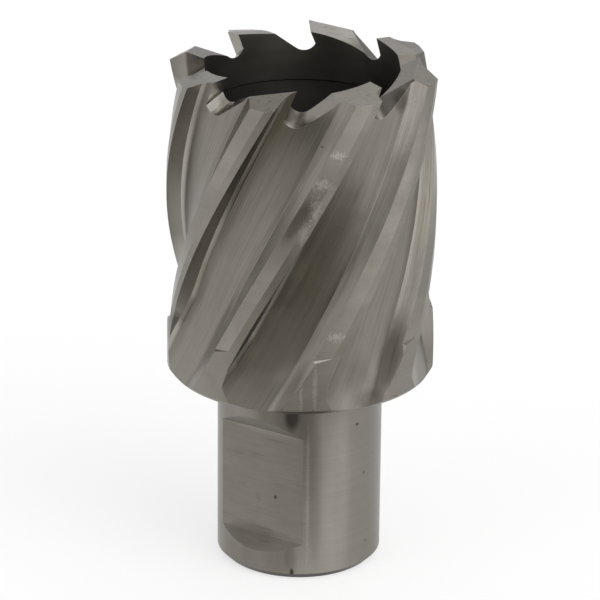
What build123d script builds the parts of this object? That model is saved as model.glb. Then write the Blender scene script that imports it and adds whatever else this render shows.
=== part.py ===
from build123d import *
import os
from math import cos, radians, sin, sqrt, tan

# Annular cutter: a hollow hole cutter turned and ground from one bar of high speed steel.
# The end of the shank stands on Z = 0 and the teeth point up. It turns anticlockwise
# when the teeth are looked at, so each cutting edge faces anticlockwise.

# Shank
shank_diameter = 19.05
shank_length = 23.25
shank_chamfer = 0.75
pin_hole_diameter = 6.5
pin_hole_chamfer = 0.5

# Flats on the shank, for the two screws of the holder
flat_depth = 1.75
flat_low = 4.5
flat_high = 17.7
flat_low_runout = 1.4
flat_high_runout = 1.9
flat_azimuth = 237.5
flat_spacing = 90.0

# Body
cutting_diameter = 30.7
body_length = 37.0
rim_chamfer = 0.5
bore_diameter = 22.24
bore_depth = 31.0
bore_relief = 0.15
bore_land = 6.2
bore_corner = 1.0

# Teeth: the first tip is on this azimuth, and each pair is a low tooth and a high one
tooth_pairs = 4
first_tip = 41.69
tooth_count = 2 * tooth_pairs
tooth_pitch = 360 / tooth_count

# Helical flutes, by angles from the cutting edge of the wall at the same height
flute_lead = 170.0
edge_lag = 11.3
edge_lag_depth = 2.75
flute_depth = 2.05
wall_lean_angle = 1.3
foot_bevel = 0.42
facet_angle = 0.647 * tooth_pitch
facet_rise = 0.1
heel_angle = 0.762 * tooth_pitch

# Back of each land: ground lower from the heel to the margin, down to a small ledge
land_relief = 0.4
land_overlap = 0.25
margin_angle = 0.918 * tooth_pitch
ledge_height = 6.45
ledge_tilt = 13.5
ledge_ramp = 20.0

# Where the flutes run out towards the shoulder
runout_height = 12.75
runout_blend = 4.0
runout_slope = 0.26
runout_skew = 4.7
facet_blend_high = 6.75
facet_blend_low = 2.75
facet_turn = 1.3

# Gullets in front of the teeth, cut outwards and down through the wall
gullet_rake = 22.5
gullet_depth = 2.7
gullet_radius = 1.55
gullet_offset = 0.6
gullet_slope = 32.0
gullet_fall = 34.5
gullet_skew = 16.0
gullet_reach = 9.0
gullet_slope_length = 11.0

# Tops of the teeth: two planes that meet in a crest near the middle of the wall
crest_shift = -0.185
high_crest = 0.30
high_inner_bevel = 21.8
high_inner_relief = 7.7
high_outer_bevel = -28.5
high_outer_relief = 13.3
low_crest = -0.21
low_inner_bevel = -5.2
low_inner_relief = 8.4
low_outer_bevel = -9.5
low_outer_relief = 8.6
crown_behind = 0.84 * tooth_pitch
crown_ahead = 0.11 * tooth_pitch

# How the cuts are made: how far they start outside the steel, and sections per loft
overrun = 1.0
flute_sections = 14
land_sections = 12

shank_radius = shank_diameter / 2
body_radius = cutting_diameter / 2
bore_radius = bore_diameter / 2
pin_hole_radius = pin_hole_diameter / 2
wall_thickness = body_radius - bore_radius
crest_radius = bore_radius + wall_thickness / 2 + crest_shift
tip_height = shank_length + body_length
bore_floor = tip_height - bore_depth
clear_radius = 1.2 * body_radius
clear_height = tip_height + 2 * overrun
turn_per_mm = 360 / flute_lead


def polar(radius, angle):
    return (radius * cos(radians(angle)), radius * sin(radians(angle)))


def smooth_step(value, low, high):
    share = min(max((value - low) / (high - low), 0), 1)
    return share * share * (3 - 2 * share)


# Blank: shank, shoulder, wall and bore as one turned section
with BuildPart() as cutter:
    with BuildSketch(Plane.XZ):
        with BuildLine():
            Polyline(
                (pin_hole_radius + pin_hole_chamfer, 0),
                (shank_radius - shank_chamfer, 0),
                (shank_radius, shank_chamfer),
                (shank_radius, shank_length),
                (body_radius - rim_chamfer, shank_length),
                (body_radius, shank_length + rim_chamfer),
                (body_radius, clear_height),
                (bore_radius, clear_height),
                (bore_radius, tip_height - bore_land),
                (bore_radius + bore_relief, tip_height - bore_land - bore_relief),
                (bore_radius + bore_relief, bore_floor + bore_corner),
                (bore_radius + bore_relief - bore_corner, bore_floor),
                (pin_hole_radius + pin_hole_chamfer, bore_floor),
                (pin_hole_radius, bore_floor - pin_hole_chamfer),
                (pin_hole_radius, pin_hole_chamfer),
                close=True,
            )
        make_face()
    revolve(axis=Axis.Z)


# Azimuth of the cutting edge of the first tooth's wall. It lags behind the tip
def edge_azimuth(height):
    return turn_per_mm * (height - tip_height + edge_lag_depth) - edge_lag


# How far the flute's floor has come up, below the height where its run-out starts
def floor_rise(height):
    drop = shank_length + runout_height - height
    if drop <= 0:
        return 0
    if drop < runout_blend:
        return runout_slope * drop * drop / (2 * runout_blend)
    return runout_slope * (drop - runout_blend / 2)


# Section of one flute: side wall, floor, and the facet that rises to the heel of the land
def flute_outline(height):
    edge = edge_azimuth(height)
    wall_top = Vector(*polar(body_radius, edge))
    wall_low = Vector(*polar(body_radius - flute_depth, edge + wall_lean_angle))
    wall_beyond = wall_top + (wall_top - wall_low) * ((clear_radius - body_radius) / flute_depth)
    foot = Vector(*polar(body_radius - flute_depth + floor_rise(height), edge + wall_lean_angle))
    near_shoulder = 1 - smooth_step(height - shank_length, facet_blend_low, facet_blend_high)
    facet_radius = body_radius - flute_depth + facet_rise + floor_rise(height + runout_skew)
    facet = Vector(*polar(facet_radius, edge + facet_angle - facet_turn * near_shoulder))
    heel = Vector(*polar(body_radius - land_relief * (1 - near_shoulder), edge + heel_angle))
    facet_beyond = heel + (heel - facet)
    cover = facet_beyond.normalized() * clear_radius
    return [(point.X, point.Y) for point in (foot, facet, facet_beyond, cover, wall_beyond)]


flute_low = shank_length - overrun
flute_step = (clear_height - flute_low) / (flute_sections - 1)

with BuildPart() as flute:
    for index in range(flute_sections):
        level = flute_low + index * flute_step
        with BuildSketch(Plane.XY.offset(level)):
            outline = flute_outline(level)
            with BuildLine():
                Polyline(*outline, close=True)
            make_face()
            chamfer(vertices().sort_by_distance((*outline[0], 0))[0], foot_bevel)
    loft()


# Section of the space that is ground away along the back of one land
def land_outline(height):
    edge = edge_azimuth(height)
    heel = Vector(*polar(body_radius - land_relief, edge + heel_angle))
    margin = Vector(*polar(body_radius, edge + margin_angle))
    overlap = (margin - heel) * land_overlap
    before = heel - overlap
    beyond = margin + overlap
    return [
        (before.X, before.Y),
        (beyond.X, beyond.Y),
        polar(clear_radius, edge + margin_angle),
        polar(clear_radius, edge + heel_angle),
    ]


ledge_level = shank_length + ledge_height
ledge_azimuth = edge_azimuth(ledge_level) + (heel_angle + margin_angle) / 2
ledge_out = Vector(*polar(1, ledge_azimuth))
ledge_along = Vector(*polar(1, ledge_azimuth + 90))
ledge_plane = Plane(
    origin=(*polar(body_radius, ledge_azimuth), ledge_level),
    z_dir=Vector(0, 0, 1) - ledge_along * tan(radians(ledge_tilt)) + ledge_out * tan(radians(ledge_ramp)),
)

land_low = ledge_level - 2 * overrun
land_step = (clear_height - land_low) / (land_sections - 1)

with BuildPart() as land:
    for index in range(land_sections):
        level = land_low + index * land_step
        with BuildSketch(Plane.XY.offset(level)):
            with BuildLine():
                Polyline(*land_outline(level), close=True)
            make_face()
    loft()
    split(bisect_by=ledge_plane, keep=Keep.TOP)


# One gullet, drawn on the bore in front of the tip that lies on azimuth 0:
# the tooth's rake face, a round bottom and the slope up to the next tooth's back
gullet_plane = Plane(origin=(bore_radius, 0, tip_height), x_dir=(0, 1, 0), z_dir=(1, 0, 0))
gullet_way = (1, -tan(radians(gullet_skew)), -tan(radians(gullet_fall)))
rake_way = Vector(-sin(radians(gullet_rake)), -cos(radians(gullet_rake)))
gullet_centre = Vector(gullet_offset, gullet_radius - gullet_depth)
along_rake = rake_way.dot(gullet_centre)
rake_length = along_rake + sqrt(along_rake**2 - gullet_centre.length**2 + gullet_radius**2)
rake_foot = rake_way * rake_length
rake_top = rake_way * (-gullet_reach / cos(radians(gullet_rake)))
gullet_bottom = gullet_centre - Vector(0, gullet_radius)
slope_foot = gullet_centre + Vector(*polar(gullet_radius, gullet_slope - 90))
slope_top = slope_foot + Vector(*polar(gullet_slope_length, gullet_slope))

with BuildPart() as gullet:
    with BuildSketch(gullet_plane):
        with BuildLine():
            Line(rake_top, rake_foot)
            ThreePointArc(rake_foot, gullet_bottom, slope_foot)
            Polyline(slope_foot, slope_top, (slope_top.X, gullet_reach), rake_top)
        make_face()
    extrude(amount=2 * wall_thickness, dir=gullet_way, both=True)


# Space above a tooth, down to one bevel of its top. The tip lies on azimuth 0
def space_above(crest_height, bevel, relief):
    crest = (crest_radius, 0, tip_height + crest_height)
    slopes = (-tan(radians(bevel)), -tan(radians(relief)), 1)
    with BuildPart() as space:
        with BuildSketch(Plane.XY.offset(tip_height - gullet_depth)):
            with BuildLine():
                Polyline(
                    polar(bore_radius - overrun, -crown_behind),
                    polar(bore_radius - overrun, crown_ahead),
                    polar(clear_radius, crown_ahead),
                    polar(clear_radius, -crown_behind),
                    close=True,
                )
            make_face()
        extrude(amount=clear_height)
        split(bisect_by=Plane(origin=crest, z_dir=slopes), keep=Keep.TOP)
    return space.part


high_inner_space = space_above(high_crest, high_inner_bevel, high_inner_relief)
high_outer_space = space_above(high_crest, high_outer_bevel, high_outer_relief)
low_inner_space = space_above(low_crest, low_inner_bevel, low_inner_relief)
low_outer_space = space_above(low_crest, low_outer_bevel, low_outer_relief)


# One shank flat with a ramp at each end
flat_radius = shank_radius - flat_depth
flat_reach = flat_depth + overrun
ramp_share = flat_reach / flat_depth

with BuildPart() as flat:
    with BuildSketch(Plane.XZ):
        with BuildLine():
            Polyline(
                (flat_radius, flat_low),
                (flat_radius + flat_reach, flat_low - flat_low_runout * ramp_share),
                (flat_radius + flat_reach, flat_high + flat_high_runout * ramp_share),
                (flat_radius, flat_high),
                close=True,
            )
        make_face()
    extrude(amount=shank_radius, both=True)


# All cuts into the blank
with cutter:
    with PolarLocations(0, tooth_count, start_angle=first_tip):
        add(flute.part, mode=Mode.SUBTRACT)
        add(land.part, mode=Mode.SUBTRACT)
        add(gullet.part, mode=Mode.SUBTRACT)
    with PolarLocations(0, tooth_pairs, start_angle=first_tip):
        add(low_inner_space, mode=Mode.SUBTRACT)
        add(low_outer_space, mode=Mode.SUBTRACT)
    with PolarLocations(0, tooth_pairs, start_angle=first_tip + tooth_pitch):
        add(high_inner_space, mode=Mode.SUBTRACT)
        add(high_outer_space, mode=Mode.SUBTRACT)
    with PolarLocations(0, 2, start_angle=flat_azimuth - flat_spacing, angular_range=2 * flat_spacing):
        add(flat.part, mode=Mode.SUBTRACT)

os.makedirs("parts", exist_ok=True)
cutter.part.label = "annular_cutter"
export_step(cutter.part, "parts/annular_cutter.step")
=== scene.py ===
import bpy
import math
from mathutils import Matrix, Vector


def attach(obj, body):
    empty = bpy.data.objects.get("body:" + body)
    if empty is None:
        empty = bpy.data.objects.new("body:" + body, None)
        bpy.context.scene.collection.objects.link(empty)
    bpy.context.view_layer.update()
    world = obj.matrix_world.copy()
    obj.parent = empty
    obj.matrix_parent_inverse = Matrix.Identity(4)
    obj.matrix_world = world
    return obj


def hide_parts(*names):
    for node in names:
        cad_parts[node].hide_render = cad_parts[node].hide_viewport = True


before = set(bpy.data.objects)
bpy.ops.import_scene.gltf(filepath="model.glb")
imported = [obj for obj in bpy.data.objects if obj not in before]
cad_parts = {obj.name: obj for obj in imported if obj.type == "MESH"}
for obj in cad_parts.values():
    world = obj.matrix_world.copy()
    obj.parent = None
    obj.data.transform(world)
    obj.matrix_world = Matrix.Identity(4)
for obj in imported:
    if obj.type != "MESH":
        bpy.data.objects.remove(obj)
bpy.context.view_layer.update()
millimetre = 0.001


# the cutter's main sizes, in millimetres and degrees, as in its CAD
cutterSizes = {
    "shankLength": 23.25,
    "bodyRadius": 15.35,
    "boreRadius": 11.12,
    "boreFloor": 29.25,
    "pinHoleRadius": 3.25,
    "tipHeight": 60.25,
    "gulletReach": 9.6,  # how far below the tips the gullets end
    "rimChamfer": 0.5,
    "lead": 170.0,  # the height in which a flute turns once
    "pitch": 45.0,  # from one tooth to the next
    "firstTip": 41.69,
    "edgeLag": 11.3,  # how far the sharp edge of a land lies behind its tooth's tip
    "edgeLagDepth": 2.75,  # the depth below the tips at which it lies there
    "heel": 0.762,  # share of the pitch at which a flute ends and the next land begins
}


# small helpers for node trees and objects
def addNode(tree, kind, **settings):
    node = tree.nodes.new(kind)
    for name, value in settings.items():
        setattr(node, name, value)
    return node


def setInput(tree, node, name, value):
    # another node's output is linked, and anything else is set as a plain value
    socket = node.inputs[name]
    if isinstance(value, bpy.types.NodeSocket):
        tree.links.new(value, socket)
    elif value is not None:
        socket.default_value = value


def mathNode(tree, operation, a, b=None, clamp=False):
    node = addNode(tree, "ShaderNodeMath", operation=operation, use_clamp=clamp)
    setInput(tree, node, 0, a)
    setInput(tree, node, 1, b)
    return node.outputs[0]


def vectorNode(tree, operation, a, b=None):
    node = addNode(tree, "ShaderNodeVectorMath", operation=operation)
    setInput(tree, node, 0, a)
    setInput(tree, node, "Scale" if operation == "SCALE" else 1, b)
    return node.outputs["Value" if operation in ("DOT_PRODUCT", "LENGTH") else "Vector"]


def splitVector(tree, vector):
    node = addNode(tree, "ShaderNodeSeparateXYZ")
    setInput(tree, node, 0, vector)
    return node.outputs


def coordinates(tree, kind):
    return addNode(tree, "ShaderNodeTexCoord").outputs[kind]


def mapRange(tree, value, low, high, newLow=0.0, newHigh=1.0):
    node = addNode(tree, "ShaderNodeMapRange")
    setInput(tree, node, "Value", value)
    ends = {"From Min": low, "From Max": high, "To Min": newLow, "To Max": newHigh}
    for name, end in ends.items():
        setInput(tree, node, name, end)
    return node.outputs["Result"]


def swing(tree, mask, amount, middle=1.0):
    # the middle value, less the amount where the mask is 0 and more by it where the mask is 1
    return mapRange(tree, mask, 0, 1, middle - amount, middle + amount)


def noise(tree, vector, scale, detail, roughness):
    node = addNode(tree, "ShaderNodeTexNoise")
    setInput(tree, node, "Vector", vector)
    setInput(tree, node, "Scale", scale)
    setInput(tree, node, "Detail", detail)
    setInput(tree, node, "Roughness", roughness)
    return node.outputs["Fac"]


def emptyTree(owner):
    # the node tree of a new material or world
    owner.use_nodes = True
    owner.node_tree.nodes.clear()
    return owner.node_tree


def showSurface(tree, shader, kind="Material"):
    setInput(tree, addNode(tree, "ShaderNodeOutput" + kind), "Surface", shader)


def newGroup(name, inputs, outputs):
    tree = bpy.data.node_groups.new(name, "ShaderNodeTree")
    for label, kind, value in inputs:
        socket = tree.interface.new_socket(label, in_out="INPUT", socket_type="NodeSocket" + kind)
        if value is not None:
            socket.default_value = value
    for label, kind in outputs:
        tree.interface.new_socket(label, in_out="OUTPUT", socket_type="NodeSocket" + kind)
    return tree, tree.nodes.new("NodeGroupInput").outputs, tree.nodes.new("NodeGroupOutput")


def placeGroup(tree, group, **values):
    node = addNode(tree, "ShaderNodeGroup", node_tree=group)
    for name, value in values.items():
        setInput(tree, node, name, value)
    return node.outputs


def addObject(name, data):
    piece = bpy.data.objects.new(name, data)
    bpy.context.scene.collection.objects.link(piece)
    return piece


# how the shared patterns are made: noise is its detail and roughness, and span is what becomes 0 and 1
patterns = {
    "ways": {"radius": 15.0},  # millimetres, where the way round the body is measured
    "lines": {"noise": (3.0, 0.65), "span": (0.25, 0.75)},
    "streaks": {"noise": (2.0, 0.5), "span": (0.3, 0.7), "coarseness": 0.2},
    "clouds": {"noise": (3.0, 0.6), "span": (0.3, 0.7)},
    "edges": {"samples": 6, "span": (0.99, 0.85)},
    "wearAndPaintedShading": {"noise": (3.0, 0.6), "span": (1.0, 0.5), "stretch": (1.0, 1.0, 0.5)},
    "scratches": {"noise": (2.0, 0.5), "width": 0.05},
}


# node groups that several finishes share
def buildShareGroup():
    # how far a place lies across a flute and its land: 0 at one land's sharp edge, 1 at the next
    tree, given, out = newGroup("acrossFlute", [("Vector", "Vector", None)], [("Share", "Float")])
    sizes = cutterSizes
    place = splitVector(tree, given["Vector"])
    azimuth = mathNode(tree, "ARCTAN2", place["Y"], place["X"])
    azimuth = mathNode(tree, "MULTIPLY", azimuth, 180 / math.pi / sizes["pitch"])
    perHeight = 360 / sizes["lead"] / sizes["pitch"]
    start = (sizes["firstTip"] - sizes["edgeLag"]) / sizes["pitch"]
    start += perHeight * (sizes["edgeLagDepth"] - sizes["tipHeight"])
    edge = mathNode(tree, "MULTIPLY", place["Z"], perHeight)
    away = mathNode(tree, "SUBTRACT", mathNode(tree, "SUBTRACT", azimuth, edge), start)
    setInput(tree, out, "Share", mathNode(tree, "FRACT", away))
    return tree


def buildWaysGroup():
    # places in millimetres that turn with the flutes, go round the cutter, or are left plain
    tree, given, out = newGroup(
        "machiningWays",
        [("Lead", "Float", cutterSizes["lead"]), ("Radius", "Float", patterns["ways"]["radius"])],
        [("Along Flute", "Vector"), ("Round Body", "Vector"), ("Plain", "Vector")],
    )
    plain = vectorNode(tree, "SCALE", coordinates(tree, "Object"), 1 / millimetre)
    height = splitVector(tree, plain)["Z"]
    level = vectorNode(tree, "NORMALIZE", vectorNode(tree, "MULTIPLY", plain, (1, 1, 0)))
    up = addNode(tree, "ShaderNodeCombineXYZ")
    setInput(tree, up, "Z", height)
    around = vectorNode(tree, "SCALE", level, given["Radius"])
    roundBody = vectorNode(tree, "ADD", around, up.outputs["Vector"])
    turns = mathNode(tree, "DIVIDE", height, given["Lead"])
    rotate = addNode(tree, "ShaderNodeVectorRotate", rotation_type="Z_AXIS")
    setInput(tree, rotate, "Vector", roundBody)
    setInput(tree, rotate, "Angle", mathNode(tree, "MULTIPLY", turns, -2 * math.pi))
    setInput(tree, out, "Along Flute", rotate.outputs["Vector"])
    setInput(tree, out, "Round Body", roundBody)
    setInput(tree, out, "Plain", plain)
    return tree


def buildLinesGroup():
    # fine parallel lines and broader streaks: noise that is drawn out along one way
    tree, given, out = newGroup(
        "grindingLines",
        [("Vector", "Vector", None), ("Stretch", "Vector", (1, 1, 1)), ("Fineness", "Float", 6.0)],
        [("Lines", "Float"), ("Streaks", "Float")],
    )
    lines, streaks = patterns["lines"], patterns["streaks"]
    drawn = vectorNode(tree, "MULTIPLY", given["Vector"], given["Stretch"])
    fine = noise(tree, drawn, given["Fineness"], *lines["noise"])
    coarse = mathNode(tree, "MULTIPLY", given["Fineness"], streaks["coarseness"])
    broad = noise(tree, drawn, coarse, *streaks["noise"])
    setInput(tree, out, "Lines", mapRange(tree, fine, *lines["span"]))
    setInput(tree, out, "Streaks", mapRange(tree, broad, *streaks["span"]))
    return tree


def buildStainGroup():
    # slow cloudy change of tone over the steel
    tree, given, out = newGroup(
        "cloudyTone", [("Vector", "Vector", None), ("Size", "Float", 6.0)], [("Cloud", "Float")]
    )
    clouds = patterns["clouds"]
    scale = mathNode(tree, "DIVIDE", 1.0, given["Size"])
    cloud = noise(tree, given["Vector"], scale, *clouds["noise"])
    setInput(tree, out, "Cloud", mapRange(tree, cloud, *clouds["span"]))
    return tree


def buildEdgeGroup():
    # edges that are a little rounded: their normal, and a mask of where they are
    tree, given, out = newGroup(
        "brokenEdge", [("Radius", "Float", 0.00006)], [("Normal", "Vector"), ("Edge", "Float")]
    )
    edges = patterns["edges"]
    bevel = addNode(tree, "ShaderNodeBevel", samples=edges["samples"])
    setInput(tree, bevel, "Radius", given["Radius"])
    plain = addNode(tree, "ShaderNodeNewGeometry").outputs["Normal"]
    along = vectorNode(tree, "DOT_PRODUCT", bevel.outputs["Normal"], plain)
    setInput(tree, out, "Normal", bevel.outputs["Normal"])
    setInput(tree, out, "Edge", mapRange(tree, along, *edges["span"]))
    return tree


def buildMarkGroup():
    # one small mark at a given place, ragged at its border; it draws wear and painted light and shade alike
    tree, given, out = newGroup(
        "markOfWearOrPaintedLight",
        [
            ("Vector", "Vector", None), ("Place", "Vector", (0, 0, 0)), ("Reach", "Vector", (1, 1, 1)),
            ("Ragged", "Float", 0.3), ("Grain", "Float", 4.0),
        ],
        [("Mark", "Float")],
    )
    settings = patterns["wearAndPaintedShading"]
    away = vectorNode(tree, "SUBTRACT", given["Vector"], given["Place"])
    away = vectorNode(tree, "LENGTH", vectorNode(tree, "DIVIDE", away, given["Reach"]))
    drawn = vectorNode(tree, "MULTIPLY", given["Vector"], settings["stretch"])
    grain = noise(tree, drawn, given["Grain"], *settings["noise"])
    ragged = mathNode(tree, "MULTIPLY", mathNode(tree, "SUBTRACT", grain, 0.5), given["Ragged"])
    distance = mathNode(tree, "ADD", away, ragged)
    setInput(tree, out, "Mark", mapRange(tree, distance, *settings["span"]))
    return tree


def buildScratchGroup():
    # a few thin scratches: only the crests of a drawn-out noise
    tree, given, out = newGroup(
        "strayScratches",
        [("Vector", "Vector", None), ("Stretch", "Vector", (1, 1, 1)), ("Fewness", "Float", 0.64)],
        [("Scratch", "Float")],
    )
    scratches = patterns["scratches"]
    drawn = vectorNode(tree, "MULTIPLY", given["Vector"], given["Stretch"])
    crest = noise(tree, drawn, 1.0, *scratches["noise"])
    full = mathNode(tree, "ADD", given["Fewness"], scratches["width"])
    setInput(tree, out, "Scratch", mapRange(tree, crest, given["Fewness"], full))
    return tree


groups = {
    "share": buildShareGroup(),
    "ways": buildWaysGroup(),
    "lines": buildLinesGroup(),
    "stain": buildStainGroup(),
    "edge": buildEdgeGroup(),
    "mark": buildMarkGroup(),
    "scratch": buildScratchGroup(),
}
print("scene: node groups built")


# painted light and shade by the share across a flute: a painted highlight down the wall, painted shade on
# the floor beside it, and a painted dark band before the slanted facet
paintedFluteShading = (
    (0.0, 1.1), (0.012, 1.4), (0.03, 1.6), (0.045, 1.5), (0.055, 1.15), (0.063, 0.8), (0.12, 0.82),
    (0.19, 1.0), (0.56, 1.0), (0.6, 0.85), (0.635, 0.85), (0.645, 1.0), (0.76, 0.95),
)

# what the wall of a flute and its foot have in common
besideFlute = {
    "across": paintedFluteShading, "roughness": 0.31, "anisotropic": 0.65, "way": "Along Flute",
    "stretch": (3.0, 3.0, 0.06), "fineness": 1.6, "lineDepth": 0.06, "streaks": 0.05, "lines": 0.05,
    "clouds": 0.05, "cloudSize": 7.0, "edge": 0.00004,
    "scratchStretch": (4.0, 4.0, 0.12), "scratchFewness": 0.7, "scratchShade": 0.9,
}

# one finish of the steel for each way its faces were made: the way that its lines run, how they are
# drawn out and raised, how much streaks, lines and clouds change the tone, the clouds' size in
# millimetres, the radius of its edges in metres, and the tones of its edges and scratches (1 is plain);
# edges a little lighter are wear together with a painted highlight. Some finishes are lighter or darker
# copies of one steel as painted light and shade: the bore and the shank's lower edge darker, the rakes
# and the flute walls lighter.
# With fade, the lines weaken from the second height down to the first, to the part given third.
finishes = {
    "turnedShank": {
        "colour": (0.233, 0.215, 0.188, 1), "roughness": 0.3, "anisotropic": 1.0, "way": "Round Body",
        "stretch": (0.02, 0.02, 4.0), "fineness": 3.0, "lineDepth": 0.04, "streaks": 0.03, "lines": 0.03,
        "clouds": 0.04, "cloudSize": 6.0, "edge": 0.00006, "edgeShade": 1.15,
        "scratchStretch": (0.5, 0.5, 5.0), "scratchFewness": 0.68, "scratchShade": 0.9,
    },
    # the shank's lower chamfer: the steel given dark there, as painted shade
    "paintedShadeShankEdge": {
        "colour": (0.075, 0.069, 0.06, 1), "roughness": 0.35, "anisotropic": 0.8, "way": "Round Body",
        "stretch": (0.02, 0.02, 4.0), "fineness": 3.0, "lineDepth": 0.04, "streaks": 0.03, "lines": 0.03,
        "clouds": 0.06, "cloudSize": 3.0, "edge": 0.00004, "edgeShade": 1.0,
        "scratchStretch": (0.5, 0.5, 5.0), "scratchFewness": 0.68, "scratchShade": 0.9,
    },
    "screwFlat": {
        "colour": (0.222, 0.205, 0.178, 1), "roughness": 0.42, "anisotropic": 0.2, "way": "Plain",
        "stretch": (0.15, 0.15, 2.0), "fineness": 3.0, "lineDepth": 0.06, "streaks": 0.04, "lines": 0.06,
        "clouds": 0.05, "cloudSize": 3.0, "edge": 0.00005, "edgeShade": 1.15,
        "scratchStretch": (0.35, 0.35, 4.0), "scratchFewness": 0.64, "scratchShade": 0.88,
    },
    "groundFlute": {
        "across": paintedFluteShading, "fade": (25.0, 42.0, 0.35),
        "colour": (0.222, 0.205, 0.178, 1), "roughness": 0.31, "anisotropic": 0.65, "way": "Along Flute",
        "stretch": (3.0, 3.0, 0.05), "fineness": 3.2, "lineDepth": 0.13, "streaks": 0.05, "lines": 0.23,
        "clouds": 0.05, "cloudSize": 7.0, "edge": 0.00004, "edgeShade": 1.1,
        "scratchStretch": (4.0, 4.0, 0.12), "scratchFewness": 0.66, "scratchShade": 0.8,
    },
    # the flute walls: the steel given lighter than the floors', as painted light
    "fluteWall": {**besideFlute, "colour": (0.30, 0.28, 0.25, 1), "edgeShade": 1.2},
    "fluteFoot": {**besideFlute, "colour": (0.232, 0.215, 0.187, 1), "edgeShade": 1.0},
    "groundLand": {
        "colour": (0.233, 0.215, 0.188, 1), "roughness": 0.34, "anisotropic": 0.9, "way": "Round Body",
        "stretch": (0.1, 0.1, 2.5), "fineness": 1.6, "lineDepth": 0.06, "streaks": 0.04, "lines": 0.04,
        "clouds": 0.06, "cloudSize": 3.0, "edge": 0.00004, "edgeShade": 1.2,
        "scratchStretch": (2.0, 2.0, 0.3), "scratchFewness": 0.68, "scratchShade": 0.88,
    },
    "heelLedge": {
        "colour": (0.233, 0.215, 0.188, 1), "roughness": 0.4, "anisotropic": 0.2, "way": "Plain",
        "stretch": (1.0, 1.0, 1.0), "fineness": 1.5, "lineDepth": 0.06, "streaks": 0.08, "lines": 0.06,
        "clouds": 0.08, "cloudSize": 2.0, "edge": 0.00002, "edgeShade": 1.0,
        "scratchStretch": (1.0, 1.0, 1.0), "scratchFewness": 0.8, "scratchShade": 1.0,
    },
    "groundTooth": {
        "colour": (0.206, 0.191, 0.167, 1), "roughness": 0.28, "anisotropic": 0.3, "way": "Plain",
        "stretch": (1.0, 2.5, 1.0), "fineness": 1.5, "lineDepth": 0.06, "streaks": 0.06, "lines": 0.06,
        "clouds": 0.06, "cloudSize": 2.0, "edge": 0.00004, "edgeShade": 1.25,
        "scratchStretch": (0.9, 5.0, 5.0), "scratchFewness": 0.63, "scratchShade": 0.6,
    },
    # the rakes: the steel given lighter, as painted light for the bright reflection they show
    "paintedLightToothRake": {
        "colour": (0.31, 0.29, 0.255, 1), "roughness": 0.34, "anisotropic": 0.3, "way": "Plain",
        "stretch": (1.0, 1.0, 2.5), "fineness": 1.5, "lineDepth": 0.06, "streaks": 0.06, "lines": 0.06,
        "clouds": 0.06, "cloudSize": 2.0, "edge": 0.00004, "edgeShade": 1.1,
        "scratchStretch": (2.0, 2.0, 2.0), "scratchFewness": 0.7, "scratchShade": 0.8,
    },
    "groundGullet": {
        "colour": (0.235, 0.218, 0.190, 1), "roughness": 0.25, "anisotropic": 0.5, "way": "Plain",
        "stretch": (1.0, 1.0, 1.0), "fineness": 1.5, "lineDepth": 0.06, "streaks": 0.05, "lines": 0.05,
        "clouds": 0.06, "cloudSize": 2.0, "edge": 0.00004, "edgeShade": 1.2,
        "scratchStretch": (2.0, 2.0, 2.0), "scratchFewness": 0.7, "scratchShade": 0.8,
    },
    # the bore: the steel given dark, as painted shade inside the bore
    "paintedShadeBore": {
        "colour": (0.107, 0.10, 0.088, 1), "roughness": 0.45, "anisotropic": 0.3, "way": "Round Body",
        "stretch": (0.05, 0.05, 3.0), "fineness": 1.5, "lineDepth": 0.06, "streaks": 0.05, "lines": 0.04,
        "clouds": 0.05, "cloudSize": 5.0, "edge": 0.00004, "edgeShade": 1.0,
        "scratchStretch": (0.3, 0.3, 4.0), "scratchFewness": 0.7, "scratchShade": 0.9,
    },
}
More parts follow.
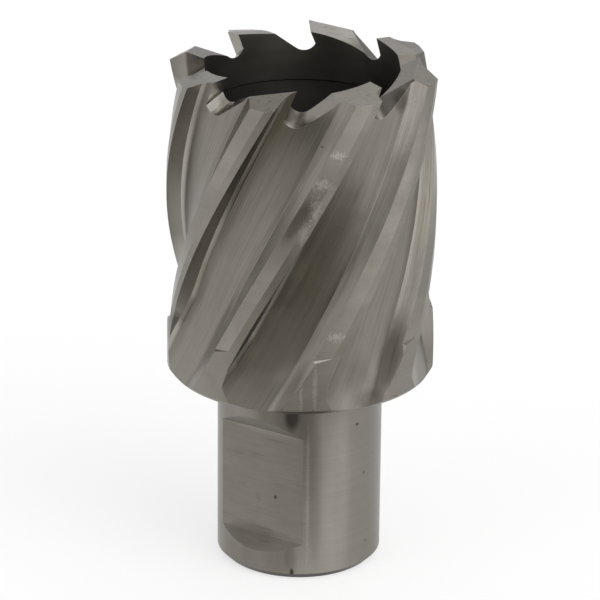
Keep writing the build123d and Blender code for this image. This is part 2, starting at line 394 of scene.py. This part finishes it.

# marks of tone on each finish: pits, nicks, chips, a stain and a fleck are wear, scuffs and rough lines are
# wear with a painted highlight, and the rest are painted shade and painted light. Each gives the way in which
# the place is given, place and reach in millimetres, raggedness, grain, and shade, which is under 1 where a
# mark is darker and over 1 where it is lighter
wearAndPaintedShading = {
    "turnedShank": (
        ("Plain", (6.57, -6.86, 18.58), (0.3, 0.3, 0.22), 0.5, 3.0, 0.3),  # three pits
        ("Plain", (7.43, -5.92, 12.14), (0.18, 0.2, 0.2), 0.5, 4.0, 0.4),
        ("Plain", (7.74, -5.5, 3.28), (0.16, 0.2, 0.2), 0.5, 4.0, 0.5),
        ("Plain", (-0.74, -9.5, 0.95), (0.3, 0.8, 0.6), 0.4, 3.0, 0.25),  # nick in the lower edge
        ("Plain", (1.0, -9.46, 12.0), (0.24, 0.6, 11.0), 1.6, 7.0, 1.25),  # thin light line, a painted highlight
        ("Plain", (-0.8, -9.47, 20.8), (1.1, 1.0, 2.6), 0.2, 1.0, 0.36),  # painted shade under the body, and its softer border
        ("Plain", (0.1, -9.5, 19.6), (2.0, 1.0, 3.0), 0.2, 1.0, 0.75),
        ("Plain", (0.9, -15.2, 23.45), (4.4, 1.6, 0.5), 0.2, 1.0, 0.4),  # painted shade on the rim's chamfer in front
        ("Plain", (-5.6, -7.7, 2.2), (5.0, 5.0, 3.4), 0.2, 1.0, 0.87),  # painted shade below the flat, and below its corner
        ("Plain", (-0.9, -9.48, 2.6), (0.9, 1.2, 2.2), 0.2, 1.0, 0.8),
        ("Plain", (1.95, -9.3, 12.0), (0.9, 0.9, 13.0), 0.2, 1.0, 0.86),  # painted shade and painted light in two bands
        ("Plain", (4.5, -8.4, 10.0), (2.0, 1.6, 17.0), 0.2, 1.0, 1.12),
    ),
    "screwFlat": (
        ("Plain", (-2.68, -7.51, 9.6), (0.2, 0.3, 0.3), 0.5, 3.0, 0.25),  # pit and a faint stain
        ("Plain", (-4.75, -6.3, 9.1), (0.5, 0.5, 0.7), 0.8, 2.0, 0.9),
        ("Plain", (-4.5, -7.2, 19.2), (9.0, 6.0, 2.3), 0.0, 1.0, 1.45),  # painted light on the top ramp, painted shade at the foot
        ("Plain", (-5.2, -6.2, 4.2), (4.0, 4.0, 1.8), 0.2, 1.0, 0.78),
    ),
    "groundFlute": (
        ("Plain", (2.16, -13.54, 54.4), (0.25, 0.6, 0.1), 0.3, 3.0, 0.5),  # fleck in the middle
        ("Along Flute", (-3.95, -14.45, 27.0), (1.3, 1.2, 7.0), 0.3, 2.0, 0.52),  # painted shade in a dark strip, right
        ("Along Flute", (-3.6, -14.5, 43.0), (0.8, 1.2, 11.0), 0.3, 2.0, 0.75),
        ("Plain", (8.0, -12.6, 23.9), (2.4, 1.8, 1.7), 0.3, 2.0, 0.7),  # painted shade at the lower rim, then in a dark strip
        ("Along Flute", (-13.2, -7.1, 38.5), (0.7, 0.9, 5.5), 0.3, 2.0, 0.72),
        ("Plain", (10.9, -7.6, 57.8), (1.2, 1.3, 1.7), 0.2, 2.0, 0.55),  # painted shade below a gullet
        ("Along Flute", (-13.1, -7.3, 54.5), (1.0, 1.0, 3.5), 1.6, 8.0, 1.2),  # painted light, rough
        ("Along Flute", (-14.15, 4.97, 31.0), (0.7, 0.8, 6.0), 0.3, 2.0, 0.7),  # painted light and shade in strips, left
        ("Along Flute", (-14.5, 3.85, 35.0), (0.7, 0.8, 6.0), 0.3, 2.0, 1.4),
        ("Along Flute", (-14.98, -0.8, 38.0), (1.2, 1.7, 4.5), 0.3, 2.0, 1.35),
        ("Along Flute", (-12.9, -7.7, 25.5), (0.9, 0.9, 4.5), 0.3, 2.0, 0.62),
        ("Along Flute", (-14.53, -3.73, 36.0), (3.2, 3.2, 17.0), 0.2, 1.0, 0.9),  # darker floor
        ("Plain", (6.9, -12.7, 25.6), (2.6, 2.2, 5.0), 0.2, 1.0, 0.8),
        ("Plain", (12.9, -7.9, 24.9), (1.4, 1.6, 2.4), 0.2, 1.0, 1.3),  # painted shade over one floor, and at the lower rim
    ),
    "fluteWall": (
        ("Plain", (-14.4, -4.3, 29.6), (1.8, 1.8, 3.2), 0.3, 2.0, 0.38),  # painted shade on the walls at the left, then painted light low on one wall
        ("Plain", (-15.0, -0.5, 42.0), (4.0, 7.0, 22.0), 0.2, 1.0, 0.55),
        ("Plain", (-13.9, 3.2, 58.2), (2.6, 2.6, 4.6), 0.2, 1.0, 0.6),
        ("Along Flute", (-10.6, 10.6, 36.5), (1.2, 1.2, 9.0), 0.3, 2.0, 1.35),
    ),
    "fluteFoot": (
        ("Plain", (-6.3, -13.0, 29.8), (1.5, 1.5, 2.8), 0.3, 2.0, 0.6),  # painted shade at the lower ends and higher up, then painted light in two strips
        ("Plain", (-13.5, 2.9, 58.2), (2.6, 2.6, 4.6), 0.2, 1.0, 0.66),
        ("Plain", (-13.1, -5.5, 32.0), (2.0, 2.0, 3.4), 0.3, 2.0, 0.62),
        ("Along Flute", (-10.6, 10.6, 36.5), (1.2, 1.2, 9.0), 0.3, 2.0, 1.35),
        ("Along Flute", (-14.98, -0.2, 38.0), (1.2, 1.7, 4.5), 0.3, 2.0, 1.3),
    ),
    "groundLand": (
        ("Plain", (3.83, -14.62, 24.35), (0.45, 0.8, 0.2), 0.8, 3.0, 0.6),  # chips along the rim
        ("Plain", (5.07, -14.0, 24.02), (0.7, 0.8, 0.14), 0.8, 4.0, 0.65),
        ("Plain", (-14.9, -3.8, 29.6), (1.0, 2.2, 4.0), 0.6, 3.0, 0.42),  # painted shade along the dark left outline
        ("Plain", (1.49, -15.11, 23.62), (0.18, 0.8, 0.4), 0.4, 3.0, 0.55),
        ("Plain", (10.85, -10.82, 23.8), (0.4, 0.6, 0.2), 0.8, 3.0, 0.6),
        ("Plain", (3.8, -14.58, 53.75), (1.25, 1.4, 0.42), 4.6, 6.0, 1.5),  # scuffs, from the top, painted light as the highlight they catch
        ("Plain", (2.1, -14.92, 50.5), (1.1, 1.4, 0.7), 4.6, 6.0, 1.5),
        ("Plain", (1.5, -15.23, 47.7), (0.65, 1.3, 1.6), 4.6, 6.0, 1.4),
        ("Plain", (0.2, -15.33, 45.0), (0.65, 1.3, 1.7), 4.6, 6.0, 1.4),
        ("Plain", (3.95, -14.57, 32.4), (0.95, 1.3, 0.5), 4.6, 6.0, 1.45),
        ("Plain", (1.69, -15.24, 26.6), (0.3, 0.8, 3.4), 2.6, 5.0, 1.3),  # two light lines, low: rough lines with a painted highlight
        ("Plain", (0.14, -15.3, 25.3), (0.2, 0.8, 1.9), 2.6, 5.0, 1.35),
        ("Along Flute", (-14.86, 2.5, 46.3), (1.6, 1.05, 3.1), 0.5, 3.0, 0.6),  # painted shade in a dark patch, then painted light, speckled
        ("Along Flute", (-12.3, -8.6, 52.0), (1.2, 1.1, 5.5), 1.6, 8.0, 1.2),
    ),
    "heelLedge": (
        ("Plain", (2.21, -15.1, 29.68), (2.4, 1.0, 1.0), 0.1, 1.0, 4.2),  # painted highlight on the ledge in front
    ),
    "groundTooth": (
        ("Plain", (3.07, 11.77, 59.8), (6.0, 3.0, 2.5), 0.2, 2.0, 1.65),  # painted light on a tooth at the back, and on one at the left
        ("Plain", (-7.4, -9.1, 57.7), (1.8, 1.8, 1.2), 0.2, 1.0, 1.8),
    ),
    "paintedLightToothRake": (
        ("Plain", (-9.7, -8.1, 59.2), (2.6, 2.6, 2.6), 0.2, 1.0, 2.1),  # painted reflection, light, on the rake at the left
    ),
    "groundGullet": (
        ("Plain", (-1.58, -11.72, 57.8), (1.6, 1.7, 2.6), 0.3, 2.0, 0.34),  # painted shade in the middle gullet
        ("Plain", (10.9, -7.3, 58.2), (1.3, 1.3, 1.2), 0.2, 2.0, 0.6),  # painted shade in the right gullet
        ("Plain", (-9.9, -7.7, 57.2), (1.1, 1.6, 1.6), 0.8, 4.0, 1.4),  # painted reflection, light, in the left gullet, and painted shade beside it
        ("Plain", (-8.6, -8.7, 56.9), (1.0, 1.0, 1.2), 0.3, 2.0, 0.8),
    ),
    "paintedShadeBore": (
        ("Plain", (0.0, 11.1, 58.0), (14.0, 5.0, 4.0), 0.2, 1.0, 0.72),  # painted shade under the teeth, then painted light below it
        ("Plain", (0.0, 11.2, 51.0), (9.0, 3.0, 3.0), 0.2, 1.0, 1.3),
    ),
}

# what all finishes have in common
steelValues = {
    "lineHeight": 0.00003,  # metres between the lines' lowest and highest places
    "roughnessSwing": 0.08,  # the clouds change the roughness by this part of it
    "tones": (0.6, 1.8),  # a dark and a bright tone, and the strength of the colour at each
    "saturations": (1.1, 0.5),
    "shineTurn": 0.25,  # turns, so that the shine is drawn out across the lines
    "rampTop": 2.0,  # a ramp's colours end at 1, so tones are divided by this in it
}


def buildTangent(tree, way):
    # the way that the grinding or turning lines run, for the drawn-out shine
    place = splitVector(tree, coordinates(tree, "Object"))
    tangent = addNode(tree, "ShaderNodeCombineXYZ")
    alongFlute = way == "Along Flute"
    turn = 2 * math.pi / (cutterSizes["lead"] * millimetre) if alongFlute else 1.0
    setInput(tree, tangent, "X", mathNode(tree, "MULTIPLY", place["Y"], -turn))
    setInput(tree, tangent, "Y", mathNode(tree, "MULTIPLY", place["X"], turn))
    setInput(tree, tangent, "Z", 1.0 if alongFlute else 0.0)
    return tangent.outputs["Vector"]


def shadeBy(tree, tone, mask, shade):
    # the tone goes to shade times itself where the mask is 1
    return mathNode(tree, "MULTIPLY", tone, mapRange(tree, mask, 0, 1, 1, shade))


def paintedShadingAcross(tree, vector, stops):
    # painted light and shade by the share across the flute, straight between the stops
    ramp = addNode(tree, "ShaderNodeValToRGB")
    setInput(tree, ramp, "Fac", placeGroup(tree, groups["share"], Vector=vector)["Share"])
    points = ramp.color_ramp.elements
    while len(points) < len(stops):
        points.new(0.5)
    top = steelValues["rampTop"]
    for point, (share, tone) in zip(points, stops):
        point.position = share
        point.color = (tone / top, tone / top, tone / top, 1)
    return mathNode(tree, "MULTIPLY", ramp.outputs["Color"], top)


def buildFinish(name, settings):
    material = bpy.data.materials.new(name)
    tree = emptyTree(material)
    ways = placeGroup(tree, groups["ways"], Lead=cutterSizes["lead"])
    way = ways[settings["way"]]
    drawn = placeGroup(
        tree, groups["lines"], Vector=way, Stretch=settings["stretch"], Fineness=settings["fineness"]
    )
    cloud = placeGroup(tree, groups["stain"], Vector=ways["Plain"], Size=settings["cloudSize"])["Cloud"]
    edge = placeGroup(tree, groups["edge"], Radius=settings["edge"])
    scratch = placeGroup(
        tree, groups["scratch"], Vector=way,
        Stretch=settings["scratchStretch"], Fewness=settings["scratchFewness"],
    )["Scratch"]

    height = mathNode(tree, "SUBTRACT", drawn["Lines"], scratch)
    lines = swing(tree, drawn["Lines"], settings["lines"], middle=0)
    if "fade" in settings:
        low, high, rest = settings["fade"]
        fade = mapRange(tree, splitVector(tree, ways["Plain"])["Z"], low, high, rest, 1)
        height = mathNode(tree, "MULTIPLY", height, fade)
        lines = mathNode(tree, "MULTIPLY", lines, fade)
    tone = swing(tree, drawn["Streaks"], settings["streaks"])
    tone = mathNode(tree, "MULTIPLY", tone, mathNode(tree, "ADD", lines, 1.0))
    tone = mathNode(tree, "MULTIPLY", tone, swing(tree, cloud, settings["clouds"]))
    tone = shadeBy(tree, tone, scratch, settings["scratchShade"])
    # edges a little lighter: worn edges, and a painted highlight along them
    tone = shadeBy(tree, tone, edge["Edge"], settings["edgeShade"])
    # each mark, wear or painted light and shade, multiplies the tone
    for markWay, place, reach, ragged, grain, shade in wearAndPaintedShading.get(name, ()):
        mark = placeGroup(
            tree, groups["mark"], Vector=ways[markWay], Place=place, Reach=reach, Ragged=ragged, Grain=grain
        )["Mark"]
        tone = shadeBy(tree, tone, mark, shade)
    # the painted light and shade across each flute
    if "across" in settings:
        tone = mathNode(tree, "MULTIPLY", tone, paintedShadingAcross(tree, ways["Plain"], settings["across"]))

    toned = addNode(tree, "ShaderNodeMix", data_type="RGBA", blend_type="MULTIPLY")
    setInput(tree, toned, "Factor", 1.0)
    setInput(tree, toned, 6, settings["colour"])  # inputs 6 and 7 are its two colours, output 2 the result
    setInput(tree, toned, 7, tone)
    # dark places, painted shade among them, are a little warmer than the steel, and bright ones, painted
    # highlights among them, more neutral
    tint = addNode(tree, "ShaderNodeHueSaturation")
    saturation = mapRange(tree, tone, *steelValues["tones"], *steelValues["saturations"])
    setInput(tree, tint, "Saturation", saturation)
    setInput(tree, tint, "Color", toned.outputs[2])

    bump = addNode(tree, "ShaderNodeBump")
    setInput(tree, bump, "Strength", settings["lineDepth"])
    setInput(tree, bump, "Distance", steelValues["lineHeight"])
    setInput(tree, bump, "Height", height)
    setInput(tree, bump, "Normal", edge["Normal"])

    steel = addNode(tree, "ShaderNodeBsdfPrincipled")
    rough = settings["roughness"]
    setInput(tree, steel, "Metallic", 1.0)
    setInput(tree, steel, "Anisotropic", settings["anisotropic"])
    setInput(tree, steel, "Anisotropic Rotation", steelValues["shineTurn"])
    setInput(tree, steel, "Base Color", tint.outputs["Color"])
    setInput(tree, steel, "Roughness", swing(tree, cloud, rough * steelValues["roughnessSwing"], rough))
    setInput(tree, steel, "Normal", bump.outputs["Normal"])
    setInput(tree, steel, "Tangent", buildTangent(tree, settings["way"]))
    showSurface(tree, steel.outputs["BSDF"])
    return material


finishMaterials = {name: buildFinish(name, settings) for name, settings in finishes.items()}
print("scene: finishes built")


# what tells the cutter's faces apart: heights and radii in millimetres, slope is how much a face looks
# up, outward how much it looks away from the axis, and forward how much it looks the way the teeth cut
faceRules = {
    "shank": {"belowBody": 0.01, "fromPinHole": 0.6},
    "paintedShadeShankEdge": {"top": 1.5, "radius": 6.0, "slopes": (-0.95, -0.2)},
    "screwFlat": {"top": 20.0, "slope": 0.95, "outward": 0.999},
    "bore": {"fromWall": 0.3, "outward": -0.3, "aboveFloor": 1.2},
    "rim": {"slope": -0.1},
    "heelLedge": {"slope": 0.8, "aboveShank": 3.0, "belowTips": 15.0, "radius": 14.0},
    "paintedLightToothRake": {"forward": 0.85, "slope": -0.3, "radius": 13.1},
    "gullet": {"slope": 0.45, "radius": 13.0, "outward": 0.9},
    "toothTop": {"slope": 0.8, "belowTips": 3.2},
    "land": {"dip": 0.03, "outward": 0.9},
    "fluteWall": {"outward": 0.45},
    "fluteFoot": {"outward": 0.88, "share": 0.2},
}


def finishOnShank(place, normal, radius, outward):
    # None for a face that isn't on the shank's outside
    shank, edge, flat = faceRules["shank"], faceRules["paintedShadeShankEdge"], faceRules["screwFlat"]
    outside = radius > edge["radius"]
    steepest, flattest = edge["slopes"]
    if place.z < edge["top"] and steepest < normal.z < flattest and outside:
        return "paintedShadeShankEdge"
    aboveShank = place.z >= cutterSizes["shankLength"] - shank["belowBody"]
    if aboveShank or radius <= cutterSizes["pinHoleRadius"] + shank["fromPinHole"]:
        return None
    isFlat = outward < flat["outward"] and abs(normal.z) < flat["slope"] and outside
    return "screwFlat" if isFlat and edge["top"] < place.z < flat["top"] else "turnedShank"


def finishAtTeeth(place, normal, radius, outward):
    # None for a face that is neither a tooth's nor a gullet's
    rake, gullet, toothTop = faceRules["paintedLightToothRake"], faceRules["gullet"], faceRules["toothTop"]
    if place.z <= cutterSizes["tipHeight"] - cutterSizes["gulletReach"]:
        return None
    forward = (normal.y * place.x - normal.x * place.y) / radius
    if forward > rake["forward"] and normal.z < rake["slope"] and radius < rake["radius"]:
        return "paintedLightToothRake"
    inGullet = radius < gullet["radius"] and abs(outward) < gullet["outward"]
    if normal.z <= gullet["slope"] and not inGullet:
        return None
    depth = cutterSizes["tipHeight"] - place.z
    onTop = normal.z > toothTop["slope"] and depth < toothTop["belowTips"]
    return "groundTooth" if onTop else "groundGullet"


def finishOnFlute(place, outward, reach):
    sizes, land, foot = cutterSizes, faceRules["land"], faceRules["fluteFoot"]
    azimuth = math.degrees(math.atan2(place.y, place.x)) - sizes["firstTip"]
    climb = place.z - sizes["tipHeight"] + sizes["edgeLagDepth"]
    edge = 360 / sizes["lead"] * climb - sizes["edgeLag"]
    share = (azimuth - edge) / sizes["pitch"] % 1.0
    onLand = min(reach) > sizes["bodyRadius"] - land["dip"] and outward > land["outward"]
    if onLand or share >= sizes["heel"]:
        return "groundLand"
    if outward < faceRules["fluteWall"]["outward"]:
        return "fluteWall"
    return "fluteFoot" if outward < foot["outward"] and share < foot["share"] else "groundFlute"


def finishOfFace(place, normal, reach):
    # place is the face's middle, and reach how far each of its corners is from the axis
    sizes, bore, ledge = cutterSizes, faceRules["bore"], faceRules["heelLedge"]
    radius = math.hypot(place.x, place.y)
    outward = (normal.x * place.x + normal.y * place.y) / radius
    onShank = finishOnShank(place, normal, radius, outward)
    if onShank:
        return onShank
    inside = outward < bore["outward"] or place.z < sizes["boreFloor"] + bore["aboveFloor"]
    if inside and radius < sizes["boreRadius"] + bore["fromWall"]:
        return "paintedShadeBore"
    rimTop = sizes["shankLength"] + sizes["rimChamfer"]
    if place.z < rimTop and normal.z < faceRules["rim"]["slope"]:
        return "turnedShank"
    lowest = sizes["shankLength"] + ledge["aboveShank"]
    highest = sizes["tipHeight"] - ledge["belowTips"]
    if normal.z > ledge["slope"] and lowest < place.z < highest and radius > ledge["radius"]:
        return "heelLedge"
    return finishAtTeeth(place, normal, radius, outward) or finishOnFlute(place, outward, reach)


def buildCutter():
    # the frame's own shape, with a finish for each kind of face
    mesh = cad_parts["annular_cutter"].data.copy()
    mesh.name = "cutterMesh"
    piece = addObject("cutter", mesh)
    mesh.materials.clear()
    names = list(finishes)
    for name in names:
        mesh.materials.append(finishMaterials[name])
    counts = dict.fromkeys(names, 0)
    for face in mesh.polygons:
        reach = [mesh.vertices[corner].co.xy.length / millimetre for corner in face.vertices]
        name = finishOfFace(face.center / millimetre, face.normal, reach)
        face.material_index = names.index(name)
        counts[name] += 1
    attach(piece, "root")
    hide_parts("annular_cutter")
    print("scene: cutter built,", counts)


buildCutter()


# floor and light, in metres; each card has its tone and then its corners, and each soft light its
# azimuth, elevation, width and height in degrees and then its strength
studio = {
    "floorSize": 6.0,
    "floorColour": (0.3, 0.3, 0.3, 1),
    "floorGlow": 0.66,
    "horizon": (1.2, 2.5),  # degrees, from where the sky is as pale as the floor to where it isn't
    "cardHeight": 0.0004,
    "cardTint": (1.1, 1.0, 0.8),
    "cards": {
        "nearCard": (0.12, ((-0.013, -0.02), (-0.013, -0.034), (0.01, -0.034), (0.01, -0.02))),
        "nearGreyCard": (0.3, ((-0.04, -0.02), (-0.04, -0.034), (-0.013, -0.034), (-0.013, -0.02))),
        "sideGreyCard": (0.3, ((-0.08, -0.034), (-0.08, -0.06), (-0.04, -0.06), (-0.04, -0.034))),
        "middleCard": (0.03, ((0, -0.034), (0, -0.055), (0.02, -0.055), (0.02, -0.034))),
        "middleGreyCard": (0.5, ((0.02, -0.034), (0.02, -0.055), (0.04, -0.055), (0.04, -0.034))),
        "frontCard": (0.06, (
            (-0.04, -0.055), (-0.04, -0.09), (0.06, -0.09), (0.12, -0.15), (0.12, -0.09), (0.08, -0.055),
        )),
        "frontGreyCard": (0.4, ((-0.08, -0.06), (-0.08, -0.09), (-0.04, -0.09), (-0.04, -0.06))),
        "farGreyCard": (0.38, ((-0.06, -0.09), (-0.06, -0.15), (0.12, -0.15), (0.06, -0.09))),
        "farCard": (0.04, (
            (-0.06, -0.15), (-0.06, -0.4), (-0.6, -0.4), (-0.6, -1.5), (0, -1.5), (0.16, -0.4), (0.16, -0.15),
        )),
        "farSideCard": (0.33, (
            (0.16, -0.15), (0.16, -0.4), (0, -1.5), (0.2, -1.5), (0.3, -0.4), (0.3, -0.15),
        )),
        "farLeftCard": (0.33, ((-0.3, -0.15), (-0.3, -0.4), (-0.16, -0.4), (-0.16, -0.15))),
    },
    "softLights": (
        (0, 5, 9, 9, 1.3), (18, 5, 9, 9, 0.4), (108, 5, 9, 9, 1.42), (162, 5, 9, 9, 0.68),
        (180, 5, 9, 9, 2.35), (198, 5, 9, 9, 0.33), (216, 5, 9, 9, 1.51), (234, 5, 9, 9, 0.37),
        (270, 5, 9, 9, 3.14), (288, 5, 9, 9, 2.65), (306, 5, 9, 9, 2.4), (324, 5, 9, 9, 0.56),
        (342, 5, 9, 9, 0.58),
        (26, 26, 14.5, 13, 0.15), (77, 26, 14.5, 13, 0.92), (129, 26, 14.5, 13, 0.57),
        (206, 26, 14.5, 13, 0.88), (309, 26, 14.5, 13, 0.34), (334, 26, 14.5, 13, 2.0),
        (45, 52, 26, 16, 1.41), (90, 52, 26, 16, 0.46), (135, 52, 26, 16, 1.02),
        (225, 52, 26, 16, 1.65), (315, 52, 26, 16, 3.53),
    ),
}


def addSheet(name, outline, height):
    # one level face with the given corners
    mesh = bpy.data.meshes.new(name + "Mesh")
    corners = [(x, y, height) for x, y in outline]
    mesh.from_pydata(corners, [], [tuple(range(len(corners)))])
    return addObject(name, mesh)


def buildFloor():
    # the camera and the steel's shine see it pale, and it keeps the cutter's shadow
    half = studio["floorSize"] / 2
    floor = addSheet("floor", ((-half, -half), (half, -half), (half, half), (-half, half)), 0)
    material = bpy.data.materials.new("paleFloor")
    tree = emptyTree(material)
    paper = addNode(tree, "ShaderNodeBsdfDiffuse")
    setInput(tree, paper, "Color", studio["floorColour"])
    glow = addNode(tree, "ShaderNodeEmission")
    path = addNode(tree, "ShaderNodeLightPath").outputs
    seen = mathNode(tree, "ADD", path["Is Camera Ray"], path["Is Glossy Ray"])
    seen = mathNode(tree, "ADD", seen, path["Is Transmission Ray"], clamp=True)
    setInput(tree, glow, "Strength", mathNode(tree, "MULTIPLY", seen, studio["floorGlow"]))
    both = addNode(tree, "ShaderNodeAddShader")
    setInput(tree, both, 0, paper.outputs[0])
    setInput(tree, both, 1, glow.outputs[0])
    showSurface(tree, both.outputs[0])
    floor.data.materials.append(material)


def buildCards():
    # plain cards on the floor in front, below the picture, that only the steel's shine sees
    for name, (tone, outline) in studio["cards"].items():
        card = addSheet(name, outline, studio["cardHeight"])
        material = bpy.data.materials.new(name)
        tree = emptyTree(material)
        paper = addNode(tree, "ShaderNodeBsdfDiffuse")
        setInput(tree, paper, "Color", (*(tone * part for part in studio["cardTint"]), 1))
        showSurface(tree, paper.outputs[0])
        card.data.materials.append(material)
        card.visible_camera = False
        card.visible_diffuse = False
        card.visible_shadow = False


def buildSoftLightGroup():
    # a soft patch of light in the world, brightest in its middle
    tree, given, out = newGroup(
        "softLight",
        [
            ("Side", "Vector", (1, 0, 0)), ("Height", "Float", 0.0),
            ("Across", "Float", 30.0), ("Up", "Float", 30.0), ("Strength", "Float", 1.0),
        ],
        [("Glow", "Float")],
    )
    way = coordinates(tree, "Generated")
    level = vectorNode(tree, "NORMALIZE", vectorNode(tree, "MULTIPLY", way, (1, 1, 0)))
    across = mathNode(tree, "SUBTRACT", vectorNode(tree, "DOT_PRODUCT", level, given["Side"]), 1.0)
    elevation = mathNode(tree, "ARCSINE", splitVector(tree, way)["Z"])
    rise = mathNode(tree, "SUBTRACT", elevation, given["Height"])
    up = mathNode(tree, "MULTIPLY", mathNode(tree, "MULTIPLY", rise, rise), given["Up"])
    fall = mathNode(tree, "SUBTRACT", mathNode(tree, "MULTIPLY", across, given["Across"]), up)
    glow = mathNode(tree, "MULTIPLY", mathNode(tree, "EXPONENT", fall), given["Strength"])
    setInput(tree, out, "Glow", glow)
    return tree


def buildWorld():
    world = bpy.data.worlds.new("studioWorld")
    bpy.context.scene.world = world
    tree = emptyTree(world)
    group = buildSoftLightGroup()
    total = None
    for azimuth, elevation, width, height, strength in studio["softLights"]:
        turn = math.radians(azimuth)
        values = {
            "Side": (math.cos(turn), math.sin(turn), 0),
            "Height": math.radians(elevation),
            "Across": 1 / math.radians(width) ** 2,
            "Up": 0.5 / math.radians(height) ** 2,
            "Strength": strength,
        }
        glow = placeGroup(tree, group, **values)["Glow"]
        total = glow if total is None else mathNode(tree, "ADD", total, glow)
    # the pale floor goes on to the horizon
    rise = splitVector(tree, coordinates(tree, "Generated"))["Z"]
    low, high = (math.sin(math.radians(angle)) for angle in studio["horizon"])
    sky = addNode(tree, "ShaderNodeBackground")
    setInput(tree, sky, "Color", (1, 1, 1, 1))
    setInput(tree, sky, "Strength", mathNode(tree, "MAXIMUM", total, mapRange(tree, rise, high, low)))
    showSurface(tree, sky.outputs[0], "World")


# the camera stands in front, on the -Y side, where the photograph was taken from; aim, distance, lens
# and sensor are in millimetres, elevation and roll in degrees, and clip in metres
photoCamera = {
    "aim": (-0.077, 0.0, 31.042),
    "distance": 412.8,
    "elevation": 21.73,
    "roll": 0.547,
    "lens": 215.74,
    "sensor": 36.0,
    "clip": (0.01, 20.0),
}


def buildCamera():
    data = bpy.data.cameras.new("photoCamera")
    data.lens = photoCamera["lens"]
    data.sensor_width = photoCamera["sensor"]
    data.clip_start, data.clip_end = photoCamera["clip"]
    camera = addObject("photoCamera", data)
    tilt = math.radians(90 - photoCamera["elevation"])
    turn = Matrix.Rotation(tilt, 4, "X") @ Matrix.Rotation(math.radians(photoCamera["roll"]), 4, "Z")
    back = turn.to_3x3() @ Vector((0, 0, 1))
    place = (Vector(photoCamera["aim"]) + back * photoCamera["distance"]) * millimetre
    camera.matrix_world = Matrix.Translation(place) @ turn
    bpy.context.scene.camera = camera


buildFloor()
buildCards()
buildWorld()
buildCamera()
bpy.context.scene.view_settings.view_transform = "Standard"
print("scene: studio and camera built")
